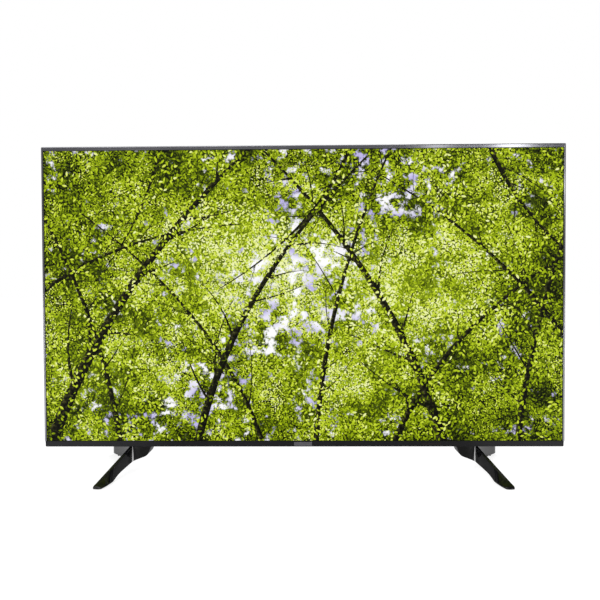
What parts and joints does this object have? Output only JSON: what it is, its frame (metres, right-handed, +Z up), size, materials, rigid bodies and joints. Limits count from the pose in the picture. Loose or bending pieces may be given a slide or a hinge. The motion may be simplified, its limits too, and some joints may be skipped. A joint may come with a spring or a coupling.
{
  "type": "flat screen tv",
  "caption": "Flat screen television with a slim dark metal bezel, a plain black bar under the picture and splayed glossy black feet; backlight, boards and speakers inside.",
  "frame": {"origin": "on the floor, under the middle of the screen, midway between the front and the rear foot tips", "axes": "+X along the screen to the viewer's right, +Y back away from the viewer, +Z up"},
  "size_m": [1.2216, 0.2715, 0.7694],
  "materials": {
    "screen": "dark liquid crystal glass, lit from behind",
    "bezel_metal": "dark silver, brushed along its length",
    "bar_plastic": "black satin",
    "badge_metal": "plain satin plate",
    "receiver_plastic": "smoked, passes infrared",
    "gasket_foam": "black foam",
    "frame_plastic": "white moulding",
    "optical_film": "clear film with fine prisms",
    "diffuser_plastic": "milky plate",
    "reflector_film": "white foamed film",
    "lamp_bar": "white coated strip",
    "lens_plastic": "clear moulding",
    "tray_steel": "zinc coated sheet",
    "bright_steel": "nickel plated",
    "green_board": "green solder mask on glass fibre",
    "brown_board": "brown paper laminate",
    "board_parts": "black moulded parts",
    "heatsink_metal": "anodised fins",
    "transformer_tape": "ferrite core wrapped in yellow tape",
    "capacitor_sleeve": "dark blue plastic sleeve",
    "socket_metal": "nickel plated shells",
    "socket_plastic": "black moulding",
    "flex_film": "amber polyimide film",
    "ribbon_plastic": "white flat cable",
    "speaker_plastic": "black moulded box",
    "speaker_metal": "pressed basket and magnet",
    "cone_paper": "black pressed pulp",
    "lead_rubber": "insulated wire",
    "cover_plastic": "fine spark texture, black",
    "key_plastic": "black satin",
    "dark_screw": "black zinc",
    "foot_plastic": "high gloss black",
    "pad_rubber": "black rubber"
  },
  "bodies": {
    "set": {"lcd_glass": "screen", "glass_gasket": "gasket_foam", "top_bezel": "bezel_metal", "left_bezel": "bezel_metal", "right_bezel": "bezel_metal", "bottom_bezel": "bar_plastic", "badge_plate": "badge_metal", "receiver_window": "receiver_plastic", "receiver_board": "green_board", "middle_frame": "frame_plastic", "prism_sheet": "optical_film", "diffuser_sheet": "optical_film", "diffuser_plate": "diffuser_plastic", "reflector_sheet": "reflector_film", "led_bars": "lamp_bar", "led_lenses": "lens_plastic", "backlight_tray": "tray_steel", "wall_mount_posts": "bright_steel", "board_standoffs": "bright_steel", "main_board": "green_board", "main_board_parts": "board_parts", "processor_heatsink": "heatsink_metal", "hdmi_sockets": "socket_metal", "usb_sockets": "socket_metal", "ethernet_socket": "socket_plastic", "optical_socket": "socket_plastic", "aerial_socket": "socket_metal", "headphone_socket": "socket_plastic", "power_board": "brown_board", "power_transformer": "transformer_tape", "power_capacitors": "capacitor_sleeve", "power_board_parts": "board_parts", "mains_inlet": "socket_plastic", "driver_board": "green_board", "edge_boards": "green_board", "glass_flexes": "flex_film", "panel_ribbons": "ribbon_plastic", "wireless_module": "socket_metal", "left_speaker_box": "speaker_plastic", "right_speaker_box": "speaker_plastic", "left_speaker_driver": "speaker_metal", "right_speaker_driver": "speaker_metal", "speaker_leads": "lead_rubber", "lamp_lead": "lead_rubber", "board_harness": "ribbon_plastic", "key_board": "green_board", "rear_cover": "cover_plastic", "cover_screws": "dark_screw", "board_screws": "bright_steel", "left_foot_bracket": "tray_steel", "right_foot_bracket": "tray_steel", "bracket_screws": "bright_steel", "left_foot": "foot_plastic", "right_foot": "foot_plastic", "left_foot_pads": "pad_rubber", "right_foot_pads": "pad_rubber", "foot_screws": "dark_screw"},
    "power_key": {"power_key": "key_plastic"},
    "left_cone": {"left_speaker_cone": "cone_paper"},
    "right_cone": {"right_speaker_cone": "cone_paper"}
  },
  "joints": [
    {"name": "power_key_press", "type": "slide", "parent": "set", "child": "power_key", "axis": [0, 0, 1], "range_m": [0, 0.0008], "stiffness_N_per_m": 150, "springref_m": -0.001},
    {"name": "left_cone_stroke", "type": "slide", "parent": "set", "child": "left_cone", "axis": [0, 0, 1], "range_m": [-0.0008, 0.0008], "stiffness_N_per_m": 100},
    {"name": "right_cone_stroke", "type": "slide", "parent": "set", "child": "right_cone", "axis": [0, 0, 1], "range_m": [-0.0008, 0.0008], "stiffness_N_per_m": 100}
  ]
}
